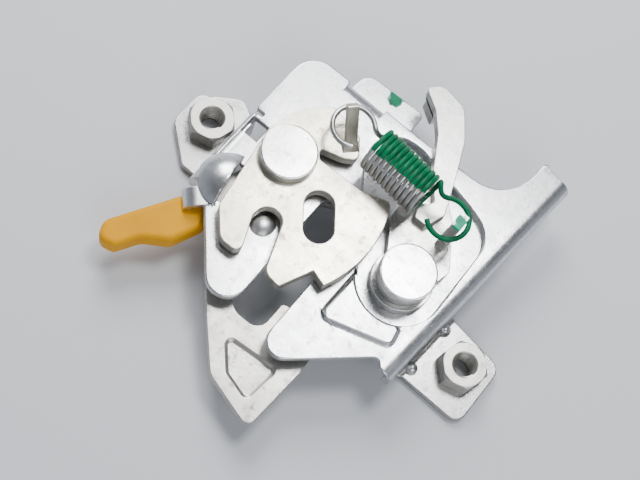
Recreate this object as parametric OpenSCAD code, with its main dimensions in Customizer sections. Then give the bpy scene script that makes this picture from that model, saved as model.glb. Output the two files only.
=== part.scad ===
// Bonnet latch: turning claw, release pawl and hand-worked safety hook on a pressed frame.
// Millimetres, +Z up. The origin is the left weld nut's axis on the mounting face.

/* [Pressed frame] */
// Sheet thickness
sheet = 2.5; // [2:0.1:3]
// Plate's upper face above the mounting face
plate_top = 18; // [16:0.5:22]
// Outer radius of the bends
bend_r = 4; // [3:0.5:5]
// Left flange's outer face, from the claw pivot
left_face = 18; // [17:0.5:20]
// Left flange's upper end, from the claw pivot
flange_end = 6.6; // [6:0.1:9]
// Right flange's outer face beside its tab, from the claw pivot
right_face = 65; // [63:0.5:68]
// Lean of the right flange
right_lean = 4.5; // [0:0.5:6]
// Height of the flanges' lower edges away from the tabs
skirt_z = 9.5; // [6:0.5:12]
// Plate's upper edge, from the claw pivot
plate_back = 34; // [32:0.5:38]
// Pawl pocket's depth
pocket_depth = 3; // [2.5:0.1:3.2]
// Pawl pocket's radius around the pawl pivot
pocket_r = 13.3; // [12.8:0.1:14]
// Raised pad's height
pad_h = 1.1; // [0.6:0.1:1.2]
// Louvre's height
louvre_h = 4; // [3:0.5:5]
// Louvre's radius on the plate
louvre_r = 9; // [7:0.5:10]
// Width of the slit beside the louvre
slit_w = 2.6; // [1.5:0.1:3]
// Drawn button's radius under the claw's mouth
button_r = 3.8; // [3:0.1:4.5]
// Drawn button's height
button_h = 1.1; // [0.6:0.1:1.2]
// Cable tab's upper face
cable_z = 8; // [6:0.5:9]

/* [Striker slot] */
// Striker slot's width
slot_w = 12.5; // [11:0.5:14]
// Slot's centre line, from the claw pivot
slot_x = 22.15; // [21:0.05:23]
// Slot's deep end, from the claw pivot
slot_end = 2.75; // [2:0.05:4]

/* [Fixing] */
// Weld nut's width across flats
nut_af = 13; // [12:0.5:14]
// Weld nut's height above its tab
nut_h = 6.5; // [5:0.5:8]
// Thread's core radius
nut_bore_r = 3.4; // [3:0.05:3.5]
// Weld nut's pilot radius
nut_pilot_r = 5; // [4.5:0.1:5.5]
// Right nut's distance from the right flange
nut_out = 12.5; // [12:0.1:14]
// Left nut's distance from the claw pivot
claw_x = 26.5; // [26:0.5:28]

/* [Pivots] */
// Pawl pivot, from the claw pivot
pawl_at = [47.7, -5];
// Radius of the shoulders that claw and pawl turn on
shoulder_r = 5; // [4:0.25:6]
// Radius of the shanks in the plate
shank_r = 4; // [3.5:0.25:4.5]
// Rivet heads' radius
head_r = 8.5; // [8:0.25:9]
// Rivet heads' height
head_h = 3.4; // [2.5:0.1:4]
// Radial play of turning fits
play = 0.05; // [0.02:0.01:0.1]
// Gap between moving faces
gap = 0.3; // [0.2:0.05:0.4]

/* [Claw] */
// Claw's thickness
claw_t = 4; // [3.5:0.1:4]
// Claw's lower face above the plate
claw_lift = 1.5; // [1.4:0.1:1.8]
// Tooth's radius
tooth_r = 39.5; // [39:0.1:39.6]
// Cam's radius at its upper end
cam_r = 32.8; // [32:0.1:34]
// Long hole's radius
hole_r = 4.4; // [3.5:0.1:4.6]
// Lean of the spring ear
ear_lean = 38; // [34:1:39]

/* [Pawl] */
// Pawl's thickness
pawl_t = 3.5; // [3:0.1:3.6]
// Hub's radius
hub_r = 9.3; // [8.5:0.1:11]
// Raised arm's upper face
arm_top = 22; // [21.5:0.1:22.5]
// Top of the spring ears
ear_top = 35.5; // [34:0.5:37]

/* [Main spring] */
// Wire diameter
wire = 1.6; // [1.2:0.1:1.8]
// Mean radius of coil and loops
coil_r = 6.2; // [5.5:0.1:6.4]
// Turns in the coil
turns = 12; // [9:1:12]
// Height of the spring's axis
spring_z = 31.2; // [31:0.1:32]
// Loop centre at the claw, from the claw pivot
loop_a = [9.3, 16.8];
// Loop centre at the pawl, from the claw pivot
loop_b = [46.6, 13.2];

/* [Safety lever] */
// Lever's thickness
lever_t = 3; // [2.5:0.1:3]
// Lever's lower face
lever_z = 8; // [7.5:0.1:8.2]
// Hook's reach from the claw pivot
hook_reach = 65; // [62:0.5:68]
// Depth of the coined recess in the hook
coin = 0.6; // [0.3:0.1:1]
// Grip's thickness
grip_t = 8; // [7:0.5:9]
// Torsion spring's wire diameter
twist_wire = 1; // [0.8:0.1:1.2]
// Torsion spring's mean radius
twist_r = 7.7; // [7.4:0.1:8.5]

/* [Hidden] */
$fn = 48;
plate_under = plate_top - sheet;
right_nut = [right_face + nut_out, -9];
floor_top = plate_top - pocket_depth;
floor_under = floor_top - sheet;
claw_z = plate_top + claw_lift;
claw_top = claw_z + claw_t;
pawl_z = floor_top + gap;
pawl_top = pawl_z + pawl_t;
head_z = claw_top + gap;
lever_top = lever_z + lever_t;
slot_l = slot_x - slot_w / 2;
slot_r = slot_x + slot_w / 2;
louvre_at = [-8.1, -15.4];
louvre_turn = 9.6;
button_at = [7, -18.7];
lap = 1;
seam = 0.02;
louvre_ball = (louvre_r * louvre_r + louvre_h * louvre_h) / (2 * louvre_h);
spring_len = norm(loop_b - loop_a);
spring_turn = atan2(loop_b[1] - loop_a[1], loop_b[0] - loop_a[0]);
tang_end = [-15.5, -33];
ear_seat = sqrt(pow(coil_r - wire / 2, 2) - 4.84) - 1.7;
tail_z = lever_z - gap - 2.8;

function unit(v) = v / norm(v);

// Point of the leaning right flange: x outward from its outer face, y along it
function lean(x, y) = [right_face + x * cos(right_lean) + y * sin(right_lean),
    -10 - x * sin(right_lean) + y * cos(right_lean)];

// Arc that replaces corner b, given as [x, y, radius], between its neighbours a and c
function corner(a, b, c) = let (
    u = unit([a[0] - b[0], a[1] - b[1]]),
    v = unit([c[0] - b[0], c[1] - b[1]]),
    half = acos(u * v) / 2,
    m = [b[0], b[1]] + unit(u + v) * b[2] / sin(half),
    s = [b[0], b[1]] + u * b[2] / tan(half) - m,
    e = [b[0], b[1]] + v * b[2] / tan(half) - m,
    from = atan2(s[1], s[0]),
    raw = atan2(e[1], e[0]) - from,
    swing = raw > 180 ? raw - 360 : raw < -180 ? raw + 360 : raw,
    steps = max(3, ceil(abs(swing) / 12))
) [for (k = [0:steps]) m + b[2] * [cos(from + swing * k / steps), sin(from + swing * k / steps)]];

// Outline from corners [x, y, radius]
function rounded(p) = [for (i = [0:len(p) - 1])
    each (p[i][2] > 0 ? corner(p[(i + len(p) - 1) % len(p)], p[i], p[(i + 1) % len(p)])
        : [[p[i][0], p[i][1]]])];

// Cam edge from the tooth's tip up to the lobe
cam_edge = [for (k = [0:16]) let (a = -36 + 51 * k / 16, r = cam_r + (15 - a) * (tooth_r - cam_r) / 51)
    r * [cos(a), sin(a)]];

// Direction from a circle's centre to its outer tangent towards the next circle, anticlockwise
function tangent(p, q) = let (d = [q[0] - p[0], q[1] - p[1]])
    atan2(d[1], d[0]) - acos((p[2] - q[2]) / norm(d));

// Outline of a belt round circles [x, y, radius], listed anticlockwise
function belt(c) = let (n = len(c)) [for (i = [0:n - 1])
    let (q = c[i], from = tangent(c[(i + n - 1) % n], q), to = tangent(q, c[(i + 1) % n]),
        swing = (to - from + 720) % 360, steps = max(3, ceil(swing / 9)))
    for (k = [0:steps]) let (a = from + swing * k / steps) [q[0], q[1]] + q[2] * [cos(a), sin(a)]];

// Slab of a 2-D outline between two heights
module slab(z, top) {
    translate([0, 0, z]) linear_extrude(top - z) children();
}

// Quarter of a sheet's bend, centred on the bend's axis
module quarter(x, y) {
    intersection() {
        difference() {
            circle(bend_r);
            circle(bend_r - sheet);
        }
        translate([x < 0 ? -bend_r : 0, y < 0 ? -bend_r : 0]) square(bend_r);
    }
}

// Flange's section: outer face on x = 0, plate towards +x
module flange(low) {
    translate([bend_r, plate_top - bend_r]) quarter(-1, 1);
    translate([0, low]) square([sheet, plate_top - bend_r - low]);
}

// Longer part of a flange that has a tab
module drop(low) {
    translate([0, low]) square([sheet, skirt_z - low]);
}

// Section of the lower bend that leads a flange out into a tab
module foot(low) {
    translate([sheet - bend_r, low + bend_r]) quarter(1, -1);
}

// Stretch of a section along y
module along(y, end) {
    translate([0, end, 0]) rotate([90, 0, 0]) linear_extrude(end - y) children();
}

module plate_outline() {
    in = bend_r - left_face;
    polygon(rounded([[in, -20.8, 0], [-12.4, -22.6, 0], [-9.6, -25, 3], [slot_l, -53.9, 6.4],
        [slot_l, slot_end, slot_w / 2 - 0.05],
        [slot_r, slot_end, slot_w / 2 - 0.05], [slot_r, -52.6, 5], [56.2, -27.2, 2],
        concat(lean(-bend_r - lap / 2, -19), 0), concat(lean(-bend_r - lap / 2, 62.5), 0), [58.5, 54.2, 1.2],
        [58, plate_back + 0.7, 14.2], [38.4, plate_back + 0.7, 0], [37.6, plate_back, 0],
        [12, plate_back, 0], [12, plate_back - bend_r, 0], [-2, plate_back - bend_r, 0],
        [-2, plate_back, 0], [0.9 - left_face, plate_back, 8],
        [0.9 - left_face, flange_end + 1.4, 0.5], [in, flange_end + 1.4, 0.4]]));
}

module pocket_outline(grow) {
    polygon(belt([concat(pawl_at, pocket_r + grow), [50.4, 16, 10.2 + grow], [26, 21.5, 9.8 + grow]]));
}

module pad_outline() {
    polygon(rounded([[36, -8, 1], [35.5, -28.5, 3], [38.5, -29.2, 2], [57.8, -23, 2.5], [56.5, -17, 1]]));
}

// Everything on the louvre's side of its slit, between two heights
module louvre_side(low) {
    translate(concat(louvre_at, low)) rotate([0, 0, louvre_turn])
        translate([-20.3, -20, 0]) cube([20, 40, 20]);
}

module louvre_ball(r) {
    translate(concat(louvre_at, plate_top + louvre_h - louvre_ball)) sphere(r, $fn = 64);
}

// Round button drawn up from the plate, to steady the claw's lower face
module button() {
    ball = (button_r * button_r + button_h * button_h) / (2 * button_h);
    intersection() {
        translate(concat(button_at, plate_top + button_h - ball)) sphere(ball);
        translate(concat(button_at, plate_top - 1)) cylinder(r = button_r + 0.5, h = 4);
    }
}

module frame_sheet() {
    slab(plate_under, plate_top) plate_outline();
    slab(floor_under, plate_top - 0.2) pocket_outline(2.2);
    slab(plate_top - 0.5, plate_top + pad_h) pad_outline();
    translate([-left_face, 0, 0]) {
        along(-21, flange_end) flange(skirt_z);
        along(-15.3, flange_end) {
            drop(bend_r);
            foot(0);
        }
    }
    translate([right_face, -10, seam]) rotate([0, 0, -right_lean]) mirror([1, 0, 0]) {
        along(-19.5, 62.8) {
            flange(skirt_z);
            translate([bend_r, plate_under]) square([lap, sheet]);
        }
        along(-12.3, 12.3) {
            drop(bend_r);
            foot(0);
        }
    }
    translate([-15.2, -27.5, seam]) rotate([0, 0, 42.2]) along(-2.9, 2.9) {
        translate([bend_r, plate_top - bend_r]) quarter(-1, 1);
        translate([bend_r, plate_under]) square([5, sheet]);
    }
    translate([-2, plate_back, 0]) rotate([0, 0, -90]) along(0, 14) {
        flange(cable_z - sheet + bend_r);
        foot(cable_z - sheet);
    }
    slab(0, sheet) {
        polygon(rounded([[sheet - bend_r - left_face, -15.3, 0], [sheet - bend_r - left_face, flange_end, 0],
            [sheet - bend_r - left_face - 0.8, flange_end + 5, 1.5], [-24.5, 13.9, 3],
            [-36, 5.6, 4], [-36, -6, 4], [-24.8, -15.3, 2]]));
        polygon(rounded([concat(lean(bend_r - sheet - 0.7, -12.1), 0), [87.1, -22.4, 4], [87.1, -0.4, 4],
            concat(lean(bend_r - sheet - 0.7, 12.1), 0)]));
    }
    slab(cable_z - sheet, cable_z)
        polygon(rounded([[-2, plate_back + bend_r - sheet, 0], [12, plate_back + bend_r - sheet, 0],
            [20.8, plate_back + 4, 2], [20.8, 46, 2], [-1, 45, 4]]));
    intersection() {
        louvre_ball(louvre_ball);
        louvre_side(plate_top - 1);
    }
    button();
}

module frame_plate() {
    color([0.78, 0.79, 0.8]) translate([claw_x, 0, 0]) difference() {
        frame_sheet();
        slab(floor_top, plate_top + 3) pocket_outline(0);
        intersection() {
            louvre_ball(louvre_ball - 2);
            louvre_side(plate_under - 1);
            translate([-13, -40, plate_under - 1]) cube([40, 60, 20]);
        }
        translate(concat(louvre_at, plate_under - 1)) rotate([0, 0, louvre_turn])
            translate([-1, -6.6, 0]) cube([slit_w + 0.7, 13.2, sheet + 1.3]);
        translate([0, 0, plate_under - 1]) cylinder(r = shank_r, h = sheet + 2);
        translate(concat(pawl_at, floor_under - 1)) cylinder(r = shank_r, h = sheet + 2);
        translate([-claw_x, 0, -1]) cylinder(r = nut_pilot_r, h = sheet + 2);
        translate(concat(right_nut, -1)) cylinder(r = nut_pilot_r, h = sheet + 2);
        translate([-16.4, -0.5, plate_under - 1.5]) cube([5.9, 5.8, 6]);
        slab(floor_under - 1, floor_top + 1) polygon(belt([[22, 27, 1], [26, 25.5, 1]]));
    }
}

module weld_nut() {
    top = sheet + nut_h;
    difference() {
        union() {
            intersection() {
                translate([0, 0, sheet]) rotate([0, 0, 15]) cylinder(r = nut_af / sqrt(3), h = nut_h,
                    $fn = 6);
                translate([0, 0, sheet]) cylinder(r1 = nut_af / 2 + nut_h + 0.6,
                    r2 = nut_af / 2 + 0.1, h = nut_h);
            }
            cylinder(r = nut_pilot_r, h = sheet + 0.5);
        }
        translate([0, 0, -1]) cylinder(r = nut_bore_r, h = top + 2);
        translate([0, 0, top - 0.5]) cylinder(r1 = nut_bore_r, r2 = nut_bore_r + 0.8, h = 0.8);
    }
}

module weld_nut_left() {
    color([0.72, 0.71, 0.68]) weld_nut();
}

module weld_nut_right() {
    color([0.72, 0.71, 0.68]) translate([claw_x + right_nut[0], right_nut[1], 0]) weld_nut();
}

module claw_outline() {
    polygon(concat(rounded([[31.4, 8.6, 0], [30.6, 9.2, 0], [22.5, 6.4, 4], [7.6, 5.6, 1],
        [5.4, 8.3, 1], [12.2, 10.4, 1.5], [16.2, 13, 2], [12, 19.2, 3], [0, 21.5, 3],
        [-6.5, 14, 4], [-9.5, 3, 6], [-7.8, -8.3, 0],
        [-5.2, -24.5, 4], [1.5, -32, 4], [8.8, -31.8, 2.2], [4, -20.5, 2], [4.6, -14.6, 3.8], [11.2,
            -15.2, 3.6],
        [17, -31.2, 3.5], [22.6, -31.8, 1.2], [27.1, -21.8, 0.4]]), cam_edge));
}

// Upright ear of the pawl, for the spring's loop: wide foot, post and small head
module ear(z) {
    translate([-1.5, -3.2, z]) cube([3, 6.4, 4]);
    translate([-1.5, -2.2, z]) cube([3, 4.4, ear_top - z]);
    translate([-1.5, -2.6, ear_top - 1.5]) cube([3, 5.2, 1.5]);
}

// Ear of the claw: a strip bent up at the neck's end and leaning back over it
module leaning_ear(z) {
    foot_x = 2.7 - (spring_z - z) * tan(ear_lean);
    translate(loop_a) rotate([0, 0, 138]) translate([foot_x, 0, z]) rotate([0, ear_lean, 0])
        translate([-1.1, -1.8, 0]) {
            cube([2.2, 3.6, (ear_top - z - 1) / cos(ear_lean)]);
            translate([0, -0.5, 0]) cube([2.2, 4.6, 4]);
        }
}

module claw() {
    color([0.74, 0.73, 0.68]) translate([claw_x, 0, 0]) difference() {
        union() {
            slab(claw_z, claw_top) difference() {
                claw_outline();
                polygon(belt([[16.2, -5.4, hole_r], [20.4, -11, hole_r]]));
            }
            leaning_ear(claw_top - 1.5);
        }
        translate([0, 0, claw_z - 1]) cylinder(r = shoulder_r + play, h = claw_t + 2);
    }
}

// Flat rivet head with a narrow chamfer, its underside on z
module head(z) {
    translate([0, 0, z]) cylinder(r = head_r, h = head_h - 0.4);
    translate([0, 0, z + head_h - 0.4]) cylinder(r1 = head_r, r2 = head_r - 0.4, h = 0.4);
}

module claw_rivet() {
    color([0.8, 0.8, 0.8]) translate([claw_x, 0, 0]) {
        head(head_z);
        translate([0, 0, plate_top]) cylinder(r = shoulder_r, h = head_z - plate_top);
        translate([0, 0, tail_z + 0.1]) cylinder(r = shank_r, h = plate_top - tail_z - 0.1);
        translate([0, 0, tail_z]) cylinder(r1 = 5.2, r2 = 6.2, h = 1.6);
    }
}

module claw_washer() {
    color([0.66, 0.66, 0.64]) translate([claw_x, 0, plate_top]) difference() {
        cylinder(r = 8, h = claw_lift - gap);
        translate([0, 0, -1]) cylinder(r = shoulder_r, h = claw_lift + 2);
    }
}

module pawl_plate() {
    translate(pawl_at) circle(hub_r);
    polygon(rounded([[39.8, -2.4, 0], [33.2, 8.3, 3], [32.6, 24.2, 3], [42.6, 24.2, 2.5],
        [48.5, 18.8, 4], [57, 6, 3], [55, -3, 0], [48, -6, 0]]));
}

// Raised arm from the locking lug to the cable horn
module pawl_arm() {
    polygon(rounded([[37.3, 15.65, 0.5], [38.9, 11.2, 0.8], [43.3, 11.3, 0.8], [45.4, 17.5, 2],
        [41.4, 28, 10], [36, 40.5, 10], [29.6, 49, 5], [20, 50.6, 3], [16.8, 46.4, 1.5], [23.2, 42.4, 4],
        [28.6, 36.4, 10], [34.3, 26.4, 6], [40.6, 18.6, 1], [39.8, 17.4, 0.4]]));
}

module pawl() {
    color([0.76, 0.76, 0.75]) translate([claw_x, 0, 0]) difference() {
        union() {
            slab(pawl_z, pawl_top) pawl_plate();
            slab(plate_top + 0.35, arm_top) pawl_arm();
            translate([18.6, 45.4, 12.5]) rotate([0, 0, -33]) cube([6.4, 2.4, arm_top - 13]);
            translate(loop_b + [ear_seat, 0]) ear(pawl_top - 0.5);
        }
        translate(concat(pawl_at, pawl_z - 1)) cylinder(r = shoulder_r + play, h = pawl_t + 2);
    }
}

module pawl_rivet() {
    color([0.8, 0.8, 0.8]) translate([claw_x + pawl_at[0], pawl_at[1], 0]) {
        head(head_z);
        translate([0, 0, floor_top]) cylinder(r = shoulder_r, h = head_z - floor_top);
        translate([0, 0, floor_under]) cylinder(r = shank_r, h = sheet);
    }
}

module pawl_collar() {
    color([0.66, 0.66, 0.64]) translate([claw_x + pawl_at[0], pawl_at[1],
        pawl_top + gap]) difference() {
        cylinder(r = 7.8, h = head_z - pawl_top - gap);
        translate([0, 0, -1]) cylinder(r = shoulder_r, h = head_z);
    }
}

function bezier(a, b, c, d, t) = pow(1 - t, 3) * a + 3 * t * pow(1 - t, 2) * b + 3 * t * t * (1 - t) * c
    + pow(t, 3) * d;

// Round wire swept along a path without twisting
module swept(path, r, sides) {
    n = len(path);
    t = [for (i = [0:n - 1]) unit(path[min(i + 1, n - 1)] - path[max(i - 1, 0)])];
    first = unit(cross(t[0], abs(t[0][2]) < 0.9 ? [0, 0, 1] : [1, 0, 0]));
    up = [for (i = 0, u = first; i < n; i = i + 1, u = i < n ? unit(u - (u * t[i]) * t[i]) : u) u];
    points = [for (i = [0:n - 1]) for (k = [0:sides - 1])
        let (a = 360 * k / sides, w = unit(up[i] - (up[i] * t[i]) * t[i]))
        path[i] + r * (cos(a) * w + sin(a) * cross(t[i], w))];
    skin = [for (i = [0:n - 2]) for (k = [0:sides - 1]) let (m = (k + 1) % sides)
        [i * sides + k, i * sides + sides + k, i * sides + sides + m, i * sides + m]];
    polyhedron(points, concat(skin, [[for (k = [0:sides - 1]) k],
        [for (k = [sides - 1:-1:0]) (n - 1) * sides + k]]),
        convexity = 8);
}

// Path of one end loop, from its open end round to the coil's end at x = reach
function loop_path(reach) = let (h = coil_r * [cos(50), sin(50), 0], g = [-sin(50), cos(50), 0])
    concat([for (k = [0:22]) let (a = 310 - 260 * k / 22) coil_r * [cos(a), sin(a), 0]],
        [for (k = [1:7]) bezier(h, h - 4 * g, [reach, coil_r, -4], [reach, coil_r, 0], k / 7)]);

module main_spring() {
    pitch = wire + 0.05;
    from = (spring_len - turns * pitch) / 2;
    coil = [for (k = [1:turns * 20 - 1]) let (a = k * 18)
        [from + pitch * k / 20, coil_r * cos(a), coil_r * sin(a)]];
    other = [for (p = loop_path(from)) [spring_len - p[0], p[1], -p[2]]];
    color([0.35, 0.45, 0.3]) translate([claw_x + loop_a[0], loop_a[1], spring_z]) rotate([0, 0,
        spring_turn])
        swept(concat(loop_path(from), coil, [for (k = [len(other) - 1:-1:0]) other[k]]), wire / 2, 8);
}

module tang_outline() {
    polygon(belt([[0, 0, 6], concat(tang_end, 3.2)]));
}

// Arch over the slot's deep end, shank and catch hook
module hook_outline() {
    polygon(rounded([[-2.6, 5.4, 0], [2.6, -5.4, 0], [28.3, 6.7, 5], [29.4, -30, 0], [25.8, -31, 1],
        [25.8, -41.5, 3.8], [17, -41.6, 5], [10.5, -36.5, 2], [5.5, -41, 2], [12.5, -48.8, 4],
        [23.5, 4.8 - hook_reach, 6], [41, -hook_reach, 2.6], [42.4, -43, 10], [40.2, 25.5, 6]]));
}

module safety_lever() {
    color([0.7, 0.68, 0.63]) translate([claw_x, 0, 0]) difference() {
        slab(lever_z, lever_top) {
            circle(9);
            tang_outline();
            hook_outline();
        }
        translate([0, 0, lever_z - 1]) cylinder(r = shank_r + play, h = lever_t + 2);
        slab(lever_top - coin, lever_top + 1)
            polygon(rounded([[18.5, -48.2, 2], [37.3, -46.5, 2], [36, -59.6, 2], [26.5, -57, 2]]));
    }
}

module handle_grip() {
    z = lever_z + lever_t / 2 - grip_t / 2;
    color([0.92, 0.78, 0.1]) translate([claw_x, 0, 0]) difference() {
        slab(z, z + grip_t)
            polygon(rounded([[-16.6, -26, 3], [-28, -46.4, 4], [-25.6, -52, 3], [-20.4, -50.4, 2],
                [-16.6, -43.4, 6],
                [-9.6, -38.6, 4], [-5.4, -28.4, 3], [-9.5, -23.5, 2]]));
        slab(lever_z, lever_top) tang_outline();
    }
}

module safety_spring() {
    low = lever_top + gap + twist_wire / 2;
    rise = twist_wire + 0.05;
    coil = [for (k = [0:40]) let (a = 160 + 15 * k) [twist_r * cos(a), twist_r * sin(a),
        low + rise * k * 15 / 360]];
    head = coil[0];
    tail = coil[40];
    along_head = [sin(160), -cos(160), 0];
    along_tail = [-sin(760), cos(760), 0];
    color([0.5, 0.5, 0.48]) translate([claw_x, 0, 0])
        swept(concat([head + along_head * 11], [head + along_head * 0.7], coil,
            [tail + along_tail * 0.7],
            [tail + along_tail * 9]), twist_wire / 2, 8);
}

module safety_spacer() {
    color([0.66, 0.66, 0.64]) translate([claw_x, 0, lever_top + gap]) difference() {
        cylinder(r = 6, h = plate_under - lever_top - gap);
        translate([0, 0, -1]) cylinder(r = shank_r, h = sheet + 6);
    }
}

module safety_washer() {
    color([0.66, 0.66, 0.64]) translate([claw_x, 0, tail_z + 1.6]) difference() {
        cylinder(r = 7.5, h = 1.2);
        translate([0, 0, -1]) cylinder(r = shank_r, h = 6);
    }
}

frame_plate();
weld_nut_left();
weld_nut_right();
claw();
claw_rivet();
claw_washer();
pawl();
pawl_rivet();
pawl_collar();
main_spring();
safety_lever();
handle_grip();
safety_spring();
safety_spacer();
safety_washer();
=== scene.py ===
import math
import bmesh
import bpy
from mathutils import Matrix, Vector


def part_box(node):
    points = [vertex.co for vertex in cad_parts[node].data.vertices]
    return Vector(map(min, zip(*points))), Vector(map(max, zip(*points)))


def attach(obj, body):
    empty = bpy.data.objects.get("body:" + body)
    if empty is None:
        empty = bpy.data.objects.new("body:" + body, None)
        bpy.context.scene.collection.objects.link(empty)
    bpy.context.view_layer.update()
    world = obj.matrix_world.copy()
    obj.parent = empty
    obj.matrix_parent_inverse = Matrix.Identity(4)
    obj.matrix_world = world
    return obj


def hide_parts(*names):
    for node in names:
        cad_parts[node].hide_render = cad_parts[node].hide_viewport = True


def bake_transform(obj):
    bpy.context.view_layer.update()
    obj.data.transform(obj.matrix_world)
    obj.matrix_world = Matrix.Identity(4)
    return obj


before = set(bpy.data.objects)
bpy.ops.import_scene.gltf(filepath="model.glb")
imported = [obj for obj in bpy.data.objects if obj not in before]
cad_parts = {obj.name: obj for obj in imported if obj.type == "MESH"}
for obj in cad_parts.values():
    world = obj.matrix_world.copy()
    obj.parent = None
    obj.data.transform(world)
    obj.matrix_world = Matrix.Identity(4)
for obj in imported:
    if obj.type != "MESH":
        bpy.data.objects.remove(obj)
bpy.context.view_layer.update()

# Pressed frame: one sheet of zinc-plated steel, blanked, drawn and bent into a hat section that is
# bolted down by its two tabs. Cut edges are duller than faces, the drawn pocket has a soft rim and a
# daub of green marking paint sits on the cable tab.
MM = 0.001
CLAW_AXIS = Vector((26.5, 0, 0))
COLOR, VALUE = "NodeSocketColor", "NodeSocketFloat"


def node_group(name, ins, outs):
    group = bpy.data.node_groups.new(name, "ShaderNodeTree")
    for label, kind, value in ins:
        group.interface.new_socket(label, in_out="INPUT", socket_type=kind).default_value = value
    for label, kind in outs:
        group.interface.new_socket(label, in_out="OUTPUT", socket_type=kind)
    return group, group.nodes.new("NodeGroupInput").outputs, group.nodes.new("NodeGroupOutput").inputs


def put(tree, kind, links=(), **values):
    node = tree.nodes.new(kind)
    for key, value in values.items():
        if hasattr(node, key):
            setattr(node, key, value)
        else:
            node.inputs[key.replace("_", " ")].default_value = value
    for socket, source in links:
        tree.links.new(source, node.inputs[socket])
    return node


def feed(tree, socket, value):
    if isinstance(value, bpy.types.NodeSocket):
        tree.links.new(value, socket)
    else:
        socket.default_value = value


def calc(tree, operation, *values):
    node = put(tree, "ShaderNodeMath", operation=operation)
    for socket, value in zip(node.inputs, values):
        feed(tree, socket, value)
    return node.outputs[0]


def product(tree, first, second):
    return calc(tree, "MULTIPLY", first, second)


def total(tree, first, *others):
    for other in others:
        first = calc(tree, "ADD", first, other)
    return first


def mixed(tree, factor, first, second):
    node = put(tree, "ShaderNodeMix", data_type="RGBA")
    # The Mix node holds its colour sockets at 6 and 7, and its colour result at 2.
    for index, value in ((0, factor), (6, first), (7, second)):
        feed(tree, node.inputs[index], value)
    return node.outputs[2]


def ramp(tree, source, low, high, to_low=0.0, to_high=1.0):
    node = put(tree, "ShaderNodeMapRange", [("Value", source)])
    for socket, value in zip(("From Min", "From Max", "To Min", "To Max"), (low, high, to_low, to_high)):
        node.inputs[socket].default_value = value
    return node.outputs["Result"]


def noise(tree, place, scale, detail, rough=0.6, stretch=None):
    if stretch:
        stretched = put(tree, "ShaderNodeVectorMath", [(0, place)], operation="MULTIPLY")
        stretched.inputs[1].default_value = stretch
        place = stretched.outputs[0]
    return put(tree, "ShaderNodeTexNoise", [("Vector", place)], Scale=scale, Detail=detail,
               Roughness=rough).outputs["Fac"]


def object_place(tree):
    return put(tree, "ShaderNodeTexCoord").outputs["Object"]


def object_axes(tree):
    return put(tree, "ShaderNodeSeparateXYZ", [("Vector", object_place(tree))]).outputs


plating, zinc_in, zinc_out = node_group(
    "Zinc plating",
    [("Base", COLOR, (0.7, 0.71, 0.73, 1)), ("Tint", COLOR, (0.7, 0.68, 0.6, 1)),
     ("Tint amount", VALUE, 0.5), ("Roughness", VALUE, 0.3), ("Soiling", VALUE, 0.2)],
    [("Color", COLOR), ("Roughness", VALUE), ("Height", VALUE)])
surface = put(plating, "ShaderNodeTexCoord")
metal = surface.outputs["Object"]
upright = put(plating, "ShaderNodeSeparateXYZ", [("Vector", surface.outputs["Normal"])]).outputs["Z"]
cut = ramp(plating, calc(plating, "ABSOLUTE", upright), 0.25, 0.6, 1, 0)
cloud = noise(plating, metal, 50, 5)
smear = noise(plating, metal, 1, 3, 0.55, (90, 190, 140))
wave = noise(plating, metal, 75, 1.5)
sheared = noise(plating, metal, 1, 3, 0.6, (1700, 1700, 160))
grain = noise(plating, metal, 1900, 2)
mottle = noise(plating, metal, 800, 4, 0.75)
spots = noise(plating, metal, 330, 6, 0.78)
cut_grey = (0.36, 0.36, 0.36, 1)
mottle_grey = (0.4, 0.4, 0.39, 1)
soil_brown = (0.22, 0.21, 0.19, 1)
tint = product(plating, ramp(plating, cloud, 0.4, 0.65), zinc_in["Tint amount"])
tone = mixed(plating, tint, zinc_in["Base"], zinc_in["Tint"])
tone = mixed(plating, product(plating, cut, ramp(plating, sheared, 0.35, 0.7, 0.1, 0.5)), tone, cut_grey)
tone = mixed(plating, ramp(plating, mottle, 0.38, 0.66, 0, 0.34), tone, mottle_grey)
soil = product(plating, ramp(plating, spots, 0.53, 0.74), zinc_in["Soiling"])
plating.links.new(mixed(plating, soil, tone, soil_brown), zinc_out["Color"])
plating.links.new(
    total(plating, zinc_in["Roughness"], ramp(plating, cloud, 0.35, 0.7, -0.03, 0.05),
          ramp(plating, smear, 0.35, 0.7, -0.03, 0.04), product(plating, cut, 0.1),
          product(plating, soil, 0.6)),
    zinc_out["Roughness"])
plating.links.new(
    total(plating, product(plating, grain, 0.12), wave,
          product(plating, product(plating, cut, sheared), 1.5), product(plating, mottle, 0.3)),
    zinc_out["Height"])


def plated(name, base, tint, amount, rough, soiling):
    material = bpy.data.materials.new(name)
    material.use_nodes = True
    tree = material.node_tree
    shader = tree.nodes["Principled BSDF"]
    shader.inputs["Metallic"].default_value = 1.0
    zinc = put(tree, "ShaderNodeGroup", node_tree=plating, Base=(*base, 1), Tint=(*tint, 1),
               Tint_amount=amount, Roughness=rough, Soiling=soiling)
    tree.links.new(zinc.outputs["Color"], shader.inputs["Base Color"])
    tree.links.new(zinc.outputs["Roughness"], shader.inputs["Roughness"])
    dent = put(tree, "ShaderNodeBump", [("Height", zinc.outputs["Height"])], Strength=0.2, Distance=0.4 * MM)
    tree.links.new(dent.outputs["Normal"], shader.inputs["Normal"])
    return material


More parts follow.
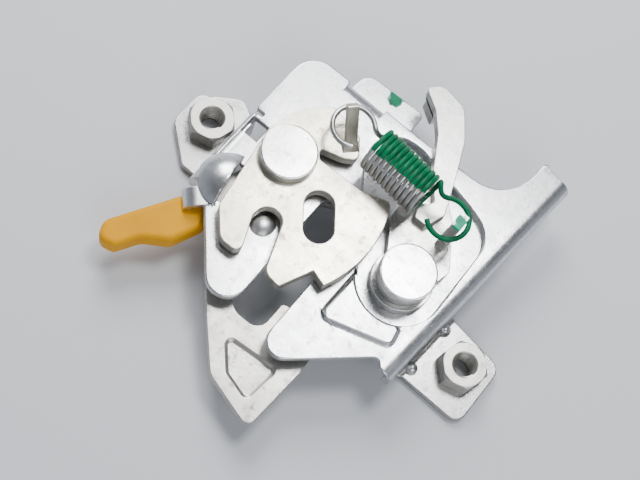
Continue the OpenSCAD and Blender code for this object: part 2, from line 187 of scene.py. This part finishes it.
paint, paint_in, paint_out = node_group(
    "Marking paint", [("Cover", VALUE, 0.0), ("Tone", COLOR, (0, 0, 0, 1))],
    [("Mask", VALUE), ("Color", COLOR)])
daub = object_place(paint)
ragged = ramp(paint, noise(paint, daub, 420, 5, 0.7), 0.2, 0.8, -1.6, 1.6)
paint.links.new(ramp(paint, total(paint, paint_in["Cover"], ragged), -0.15, 0.2), paint_out["Mask"])
thick = ramp(paint, noise(paint, daub, 300, 3), 0.3, 0.7, 0, 0.65)
thick_green = (0.0, 0.05, 0.02, 1)
paint.links.new(mixed(paint, thick, paint_in["Tone"], thick_green), paint_out["Color"])


def painted(material, cover, tone):
    tree = material.node_tree
    shader = tree.nodes["Principled BSDF"]
    shader.inputs["Specular IOR Level"].default_value = 0.12
    coat = put(tree, "ShaderNodeGroup", [("Cover", cover)], node_tree=paint, Tone=(*tone, 1))
    mask = coat.outputs["Mask"]
    bare = shader.inputs["Base Color"].links[0].from_socket
    bare_rough = shader.inputs["Roughness"].links[0].from_socket
    tree.links.new(mixed(tree, mask, bare, coat.outputs["Color"]), shader.inputs["Base Color"])
    tree.links.new(ramp(tree, mask, 0, 1, 1, 0), shader.inputs["Metallic"])
    gloss = put(tree, "ShaderNodeMix", [(0, mask), (2, bare_rough)], B=0.32)
    tree.links.new(gloss.outputs[0], shader.inputs["Roughness"])


def ball(material, centre, radius):
    tree = material.node_tree
    off = put(tree, "ShaderNodeVectorMath", [(0, object_place(tree))], operation="DISTANCE")
    off.inputs[1].default_value = (CLAW_AXIS + Vector(centre)) * MM
    return calc(tree, "SUBTRACT", radius, product(tree, off.outputs["Value"], 1 / MM))


def level_faces(work, level, facing):
    return [face for face in work.faces if face.normal.z * facing > 0.999
            and abs(face.calc_center_median().z / MM - level) < 0.01]


def sloped(work, level, run, rise, weld):
    flat = level_faces(work, level, 1)
    rim = {vert.co.to_tuple(6) for face in flat for vert in face.verts}
    bmesh.ops.inset_region(work, faces=flat, thickness=run * MM, use_boundary=True, use_even_offset=True)
    for vert in work.verts:
        if vert.co.to_tuple(6) in rim:
            vert.co.z += rise * MM
    bmesh.ops.remove_doubles(work, verts=work.verts, dist=weld)


def dressed(node, body, material, width, segments=2, weigh=None, flats=(), slopes=()):
    # Slopes are (level, run, rise) of raised or sunk flats. Flats are (level, facing) of faces that get a
    # narrow rim, so that the rounding stays out of the large face. All are in millimetres.
    weld = 0.002 * MM
    same_face = math.radians(0.7)
    sharp = math.radians(25)
    rim_width = 0.4 * MM
    usual_weight = 0.25
    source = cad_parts[node]
    mesh = source.data.copy()
    mesh.transform(source.matrix_world)
    work = bmesh.new()
    work.from_mesh(mesh)
    bmesh.ops.remove_doubles(work, verts=work.verts, dist=weld)
    bmesh.ops.dissolve_limit(work, angle_limit=same_face, verts=work.verts, edges=work.edges)
    for level, run, rise in slopes:
        sloped(work, level, run, rise, weld)
    for level, facing in flats:
        bmesh.ops.inset_region(work, faces=level_faces(work, level, facing), thickness=rim_width,
                               use_boundary=True, use_even_offset=True)
    if flats:
        bmesh.ops.connect_verts_concave(work, faces=[face for face in work.faces if len(face.verts) > 4])
    weight = work.edges.layers.float.new("bevel_weight_edge")
    for edge in work.edges:
        if len(edge.link_faces) == 2 and edge.calc_face_angle(0) > sharp:
            chosen = weigh(edge) if weigh else None
            edge[weight] = usual_weight if chosen is None else chosen
    for face in work.faces:
        face.smooth = True
    work.to_mesh(mesh)
    work.free()
    mesh.materials.clear()
    mesh.materials.append(material)
    piece = bpy.data.objects.new(node + "_dressed", mesh)
    bpy.context.collection.objects.link(piece)
    bevel = piece.modifiers.new("Rounded edges", "BEVEL")
    bevel.limit_method = "WEIGHT"
    bevel.width = width / usual_weight
    bevel.segments = segments
    bevel.use_clamp_overlap = False
    flatten = piece.modifiers.new("Flat faces", "WEIGHTED_NORMAL")
    flatten.mode = "FACE_AREA"
    flatten.weight = 90
    bpy.context.view_layer.update()
    rounded = bpy.data.meshes.new_from_object(piece.evaluated_get(bpy.context.evaluated_depsgraph_get()))
    piece.modifiers.clear()
    piece.data = rounded
    least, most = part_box(node)
    for vert in rounded.vertices:
        vert.co = [min(max(c, small), large) for c, small, large in zip(vert.co, least, most)]
    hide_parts(node)
    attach(piece, body)
    return piece


def room_beside(edge):
    start = edge.verts[0].co
    along = (edge.verts[1].co - start).normalized()
    widths = [max((vert.co - start).cross(along).length for vert in face.verts) for face in edge.link_faces]
    return min(*widths, edge.calc_length()) / MM


def pressed_rim(edge):
    plate_top, plate_under, pocket_floor = 18, 15.5, 15
    left_bend, right_bend, wing_corner = 16, 81.5, 12
    flange_from, flange_to, least_room = 84, 92, 0.6
    drawn_rim, pressed_edge = 0.7, 0.5
    across = [vert.co.x / MM for vert in edge.verts]
    # The right flange's bend has hair-thin faces that leave no room for rounding.
    if flange_from < across[0] < flange_to and room_beside(edge) < least_room:
        return 0
    if max(across) >= right_bend or min(vert.co.z for vert in edge.verts) / MM <= plate_top - 0.1:
        return None
    clear = min(across) > left_bend or min(vert.co.y for vert in edge.verts) / MM > wing_corner
    for face in edge.link_faces:
        heights = [vert.co.z / MM for vert in face.verts]
        if abs(max(heights) - plate_top) < 0.03:
            if abs(min(heights) - pocket_floor) < 0.02:
                return drawn_rim
            if clear and abs(min(heights) - plate_under) < 0.02:
                return pressed_edge
    return None


sheet_zinc = plated("Zinc sheet", base=(0.74, 0.75, 0.78), tint=(0.6, 0.61, 0.64), amount=0.4, rough=0.27,
                    soiling=0.3)
sheet_tree = sheet_zinc.node_tree
# Painted shade: below 7 mm height the sheet's colour is mixed towards dark grey, up to 55 % at 3 mm and
# below, so the low tabs and darts look shaded.
low_painted_shade = ramp(sheet_tree, object_axes(sheet_tree)["Z"], 3 * MM, 7 * MM, 0.55, 0)
painted_shade_grey = (0.4, 0.39, 0.37, 1)
sheet_colour = sheet_tree.nodes["Principled BSDF"].inputs["Base Color"]
sheet_tree.links.new(mixed(sheet_tree, low_painted_shade, sheet_colour.links[0].from_socket, painted_shade_grey), sheet_colour)
painted(sheet_zinc, ball(sheet_zinc, centre=(10.6, 44.2, 8), radius=2.6), tone=(0.0, 0.22, 0.11))
dressed("frame_plate", "frame", sheet_zinc, width=0.3 * MM, segments=3, weigh=pressed_rim,
        flats=((15, 1), (2.5, 1), (8, 1), (0, -1)), slopes=((19.1, 0.95, -1.1),))

# Stiffening darts: two small beads pressed into the bend of the right tab, so part of the same sheet.
# They are rounded bumps that stand half out of the crease.
GEOMETRY = "NodeSocketGeometry"


def shape_tree(name, source, sizes, result):
    tree = bpy.data.node_groups.new(name, "GeometryNodeTree")
    for label, kind in ((source, GEOMETRY), *sizes, ("Material", "NodeSocketMaterial")):
        tree.interface.new_socket(label, in_out="INPUT", socket_type=kind)
    tree.interface.new_socket(result, in_out="OUTPUT", socket_type=GEOMETRY)
    return tree, tree.nodes.new("NodeGroupInput").outputs


def end_tree(tree, given, geometry, result):
    soft = put(tree, "GeometryNodeSetShadeSmooth", [("Geometry", geometry)])
    real = put(tree, "GeometryNodeRealizeInstances", [("Geometry", soft.outputs[0])])
    coated = put(tree, "GeometryNodeSetMaterial",
                 [("Geometry", real.outputs[0]), ("Material", given["Material"])])
    tree.links.new(coated.outputs[0], tree.nodes.new("NodeGroupOutput").inputs[result])


def grown(name, points, edges, tree, values):
    mesh = bpy.data.meshes.new(name)
    mesh.from_pydata([Vector(point) * MM for point in points], edges, [])
    piece = bpy.data.objects.new(name, mesh)
    bpy.context.collection.objects.link(piece)
    nodes = piece.modifiers.new(tree.name, "NODES")
    nodes.node_group = tree
    for item in tree.interface.items_tree:
        if item.name in values:
            nodes[item.identifier] = values[item.name]
    bpy.context.view_layer.update()
    made = bpy.data.meshes.new_from_object(piece.evaluated_get(bpy.context.evaluated_depsgraph_get()))
    piece.modifiers.clear()
    piece.data = made
    return piece


darts, dart_in = shape_tree("Stiffening darts", "Places", [("Bead radius", VALUE)], "Beads")
bead = put(darts, "GeometryNodeMeshUVSphere", [("Radius", dart_in["Bead radius"])], Segments=32, Rings=16)
copies = put(darts, "GeometryNodeInstanceOnPoints",
             [("Points", dart_in["Places"]), ("Instance", bead.outputs["Mesh"])])
end_tree(darts, dart_in, copies.outputs[0], "Beads")
dart_places = [CLAW_AXIS + Vector((67, -2.6, 2.9)), CLAW_AXIS + Vector((66.3, -18.4, 2.9))]
beads = grown("tab_darts", dart_places, [], darts, {"Bead radius": 1.9 * MM, "Material": sheet_zinc})
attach(beads, "frame")

# Weld nuts: hexagonal steel nuts, projection-welded to the tabs, duller plating than the sheet.
# A helical thread is cut in each bore, swept as a thin ridge.
nut_zinc = plated("Weld nut", base=(0.58, 0.57, 0.53), tint=(0.46, 0.43, 0.37), amount=0.5, rough=0.34,
                  soiling=0.5)
sweep_sizes = [("Wire radius", VALUE), ("Sides", "NodeSocketInt")]
sweep, sweep_in = shape_tree("Swept wire", "Path", sweep_sizes, "Wire")
curve = put(sweep, "GeometryNodeMeshToCurve", [("Mesh", sweep_in["Path"])])
ring = put(sweep, "GeometryNodeCurvePrimitiveCircle",
           [("Radius", sweep_in["Wire radius"]), ("Resolution", sweep_in["Sides"])])
skin = put(sweep, "GeometryNodeCurveToMesh",
           [("Curve", curve.outputs[0]), ("Profile Curve", ring.outputs[0])], Fill_Caps=True)
end_tree(sweep, sweep_in, skin.outputs[0], "Wire")


def wire(name, points, radius, sides, material):
    edges = [(i, i + 1) for i in range(len(points) - 1)]
    return grown(name, points, edges, sweep,
                 {"Wire radius": radius * MM, "Sides": sides, "Material": material})


thread_radius, ridge_radius = 3.66, 0.46
thread_pitch, thread_turns, thread_foot = 1.25, 6, 1
thread_steps = 24
for side, nut_x, nut_y in (("left", 0, 0), ("right", 104, -9)):
    dressed("weld_nut_" + side, "frame", nut_zinc, width=0.2 * MM)
    helix = [(nut_x + thread_radius * math.cos(k * math.tau / thread_steps),
              nut_y + thread_radius * math.sin(k * math.tau / thread_steps),
              thread_foot + thread_pitch * k / thread_steps) for k in range(thread_steps * thread_turns)]
    thread = wire("thread_" + side, helix, ridge_radius, sides=8, material=nut_zinc)
    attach(thread, "frame")

# Claw: thick stamped steel that turns on a shouldered rivet and holds the striker bar.
# Its plating is a little warmer than the frame's.
claw_zinc = plated("Claw zinc", base=(0.69, 0.66, 0.55), tint=(0.55, 0.52, 0.43), amount=0.45, rough=0.29,
                   soiling=0.4)
dressed("claw", "claw", claw_zinc, width=0.35 * MM, segments=3)

# Rivets, washers and collar: turned steel, brighter than the stampings, with flat heads that the
# riveting press left slightly blotchy. Spacer and lower washer are behind the plate.
rivet_steel = plated("Rivet steel", base=(0.8, 0.8, 0.79), tint=(0.62, 0.62, 0.6), amount=0.6, rough=0.24,
                     soiling=0.25)
washer_zinc = plated("Washer zinc", base=(0.62, 0.62, 0.6), tint=(0.5, 0.48, 0.44), amount=0.4, rough=0.34,
                     soiling=0.3)
for node in ("claw_rivet", "pawl_rivet"):
    dressed(node, "frame", rivet_steel, width=0.3 * MM, segments=3)
for node in ("claw_washer", "pawl_collar", "safety_spacer", "safety_washer"):
    dressed(node, "frame", washer_zinc, width=0.15 * MM)

# Pawl: stamped release lever with locking lug, spring ear and cable horn, turning on its own rivet.
# A daub of the marking paint is on the ear.
pawl_zinc = plated("Pawl zinc", base=(0.73, 0.73, 0.72), tint=(0.57, 0.56, 0.52), amount=0.6, rough=0.27,
                   soiling=0.4)
painted(pawl_zinc, ball(pawl_zinc, centre=(50.2, 12.7, 35.2), radius=2.2), tone=(0.03, 0.5, 0.3))
dressed("pawl", "pawl", pawl_zinc, width=0.3 * MM, segments=3)

# Safety lever: flat stamping behind the plate with the catch hook and a coined recess with sloped sides.
# It hangs on the claw's rivet below the plate.
lever_zinc = plated("Lever zinc", base=(0.64, 0.63, 0.6), tint=(0.5, 0.48, 0.43), amount=0.6, rough=0.34,
                    soiling=0.5)
dressed("safety_lever", "safety", lever_zinc, width=0.3 * MM, segments=3,
        slopes=((10.4, 0.9, 0.6),))

# Grip: yellow plastic moulded over the lever's tang, all edges well rounded except the slot for the
# tang. Handling has left it faintly scuffed.
plastic = bpy.data.materials.new("Grip plastic")
plastic.use_nodes = True
grip_tree = plastic.node_tree
grip_shader = grip_tree.nodes["Principled BSDF"]
grip_place = object_place(grip_tree)
yellow, worn_yellow = (0.74, 0.34, 0.0, 1), (0.6, 0.26, 0.0, 1)
worn = ramp(grip_tree, noise(grip_tree, grip_place, 90, 4), 0.4, 0.7, 0, 0.5)
scuffs = ramp(grip_tree, noise(grip_tree, grip_place, 240, 5), 0.35, 0.7, 0.36, 0.55)
grip_tree.links.new(mixed(grip_tree, worn, yellow, worn_yellow), grip_shader.inputs["Base Color"])
grip_tree.links.new(scuffs, grip_shader.inputs["Roughness"])
grip_shader.inputs["Specular IOR Level"].default_value = 0.08


def tang_slot(edge):
    slot_floor, slot_roof, margin = 8, 11, 0.1
    crisp = 0.03
    heights = [vert.co.z / MM for vert in edge.verts]
    if min(heights) > slot_floor - margin and max(heights) < slot_roof + margin:
        return crisp
    return None


dressed("handle_grip", "safety", plastic, width=1.8 * MM, segments=5, weigh=tang_slot)

# Main spring: close-wound tension spring of one round wire, hooked over the claw's and the pawl's
# ears. Green marking paint covers its upper side and the loop at the pawl.
loop_a, loop_b = Vector((9.3, 16.8)), Vector((46.6, 13.2))
spring_height = 31.2
coil_radius, wire_radius = 6.2, 0.79
turns, pitch, turn_steps = 12, 1.65, 40
span = (loop_b - loop_a).length
coil_start = (span - turns * pitch) / 2


def loop_path(reach):
    mouth_angle, arc_steps, bridge_steps, handle = 50, 44, 14, 4
    mouth = Vector((math.cos(math.radians(mouth_angle)), math.sin(math.radians(mouth_angle)), 0))
    heading = Vector((-mouth.y, mouth.x, 0))
    arc_turn = 360 - 2 * mouth_angle
    angles = [math.radians(360 - mouth_angle - arc_turn * k / arc_steps) for k in range(arc_steps + 1)]
    arc = [coil_radius * Vector((math.cos(angle), math.sin(angle), 0)) for angle in angles]
    ends = (coil_radius * mouth, coil_radius * mouth - handle * heading,
            Vector((reach, coil_radius, -handle)), Vector((reach, coil_radius, 0)))
    bridge = [(1 - t) ** 3 * ends[0] + 3 * t * (1 - t) ** 2 * ends[1] + 3 * t * t * (1 - t) * ends[2]
              + t ** 3 * ends[3] for t in (k / bridge_steps for k in range(1, bridge_steps + 1))]
    return arc + bridge


coil = [Vector((coil_start + pitch * k / turn_steps, coil_radius * math.cos(k * math.tau / turn_steps),
                coil_radius * math.sin(k * math.tau / turn_steps))) for k in range(1, turns * turn_steps)]
near = loop_path(coil_start) + coil
far = [Vector((span - point.x, point.y, -point.z)) for point in reversed(loop_path(coil_start))]
to_latch = (Matrix.Translation(CLAW_AXIS + Vector((*loop_a, spring_height)))
            @ Matrix.Rotation(math.atan2(loop_b.y - loop_a.y, loop_b.x - loop_a.x), 4, "Z"))
spring_steel = plated("Spring wire", base=(0.52, 0.52, 0.51), tint=(0.38, 0.37, 0.35), amount=0.5, rough=0.3,
                      soiling=0.4)
spring_tree = spring_steel.node_tree
spring_axes = object_axes(spring_tree)


def past(axis, limit):
    return product(spring_tree, calc(spring_tree, "SUBTRACT", spring_axes[axis], limit * MM), 1 / MM)


upper_back = total(spring_tree, past("Z", 32.5), past("Y", 16.5))
on_coil = calc(spring_tree, "MINIMUM", upper_back, past("X", 43.5))
painted(spring_steel, calc(spring_tree, "MAXIMUM", on_coil, past("X", 64)), tone=(0.002, 0.16, 0.065))


def station(x):
    return (CLAW_AXIS + Vector((x, 15, spring_height))) * MM


for name, path, body, start, end in (("spring_coil", near + far[:1], "claw", station(37.5), station(10)),
                                     ("spring_loop", far, "pawl", station(37), station(43))):
    piece = wire(name, [to_latch @ point for point in path], wire_radius, sides=16, material=spring_steel)
    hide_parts("main_spring")
    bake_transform(piece)

# Safety spring: torsion spring of thin wire around the spacer, guessed from the lever's return.
# One leg bears on the frame, the other turns with the lever.
twist_radius, twist_pitch, twist_foot = 7.7, 1.05, 11.8
twist_from, twist_to, twist_step = 160, 760, 5
leg_reach, tail_reach, straight_from = 11, 9, 0.7
twist_wire = 0.49
twist = [Vector((twist_radius * math.cos(math.radians(angle)), twist_radius * math.sin(math.radians(angle)),
                 twist_foot + twist_pitch * (angle - twist_from) / 360))
         for angle in range(twist_from, twist_to + 1, twist_step)]
leg = Vector((math.sin(math.radians(twist_from)), -math.cos(math.radians(twist_from)), 0))
tail = Vector((-math.sin(math.radians(twist_to)), math.cos(math.radians(twist_to)), 0))
path = [twist[0] + leg * leg_reach, twist[0] + leg * straight_from, *twist,
        twist[-1] + tail * straight_from, twist[-1] + tail * tail_reach]
dark_steel = plated("Torsion wire", base=(0.4, 0.4, 0.39), tint=(0.3, 0.29, 0.27), amount=0.5, rough=0.32,
                    soiling=0.3)
piece = wire("twist_spring", [CLAW_AXIS + point for point in path], twist_wire, sides=12,
             material=dark_steel)
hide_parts("safety_spring")
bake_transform(piece)

# Setting: pale floor, soft light from above and from the photo's upper edge, photo camera.
# The sky is brighter near the horizon, so that upright faces show in side views.
floor_mesh = bpy.data.meshes.new("Floor")
floor_mesh.from_pydata([(-2, -2, 0), (2, -2, 0), (2, 2, 0), (-2, 2, 0)], [], [(0, 1, 2, 3)])
floor = bpy.data.objects.new("Floor", floor_mesh)
floor.location = (0, 0, -0.2 * MM)
bpy.context.collection.objects.link(floor)
paper = bpy.data.materials.new("Pale floor")
paper.use_nodes = True
paper_shader = paper.node_tree.nodes["Principled BSDF"]
paper_shader.inputs["Base Color"].default_value = (0.62, 0.64, 0.68, 1)
paper_shader.inputs["Roughness"].default_value = 0.8
floor_mesh.materials.append(paper)
world = bpy.data.worlds.new("Studio")
world.use_nodes = True
bpy.context.scene.world = world
sky_tree = world.node_tree
sky_shader = sky_tree.nodes["Background"]
sky_shader.inputs["Color"].default_value = (0.7, 0.75, 0.82, 1)
sky_way = put(sky_tree, "ShaderNodeTexCoord").outputs["Generated"]
sky_height = put(sky_tree, "ShaderNodeSeparateXYZ", [("Vector", sky_way)]).outputs["Z"]
sky_tree.links.new(ramp(sky_tree, sky_height, 0.35, 0.8, 0.55, 0.2), sky_shader.inputs["Strength"])
light_target = Vector((0.06, 0, 0))
for name, place, size, power in (("Window", Vector((-0.38, 0.42, 0.55)), 0.4, 7),
                                 ("Fill", Vector((0.5, -0.35, 0.5)), 0.5, 2.2),
                                 ("Top", Vector((0.035, 0.22, 0.65)), 0.18, 2.6)):
    lamp = bpy.data.lights.new(name, "AREA")
    lamp.energy = power
    lamp.size = size
    lamp_object = bpy.data.objects.new(name, lamp)
    lamp_object.location = place
    lamp_object.rotation_euler = (light_target - place).to_track_quat("-Z", "Y").to_euler()
    bpy.context.collection.objects.link(lamp_object)
focal_pixels, photo_width = 1250, 640
eye = bpy.data.cameras.new("Photo camera")
eye.sensor_width = 36
eye.lens = focal_pixels / photo_width * eye.sensor_width
camera = bpy.data.objects.new("Photo camera", eye)
camera.matrix_world = Matrix(((0.7675, -0.63753, 0.06707, 0.07288), (0.61689, 0.70608, -0.34771, -0.13557),
                              (0.17432, 0.30824, 0.9352, 0.352), (0, 0, 0, 1)))
bpy.context.collection.objects.link(camera)
bpy.context.scene.camera = camera
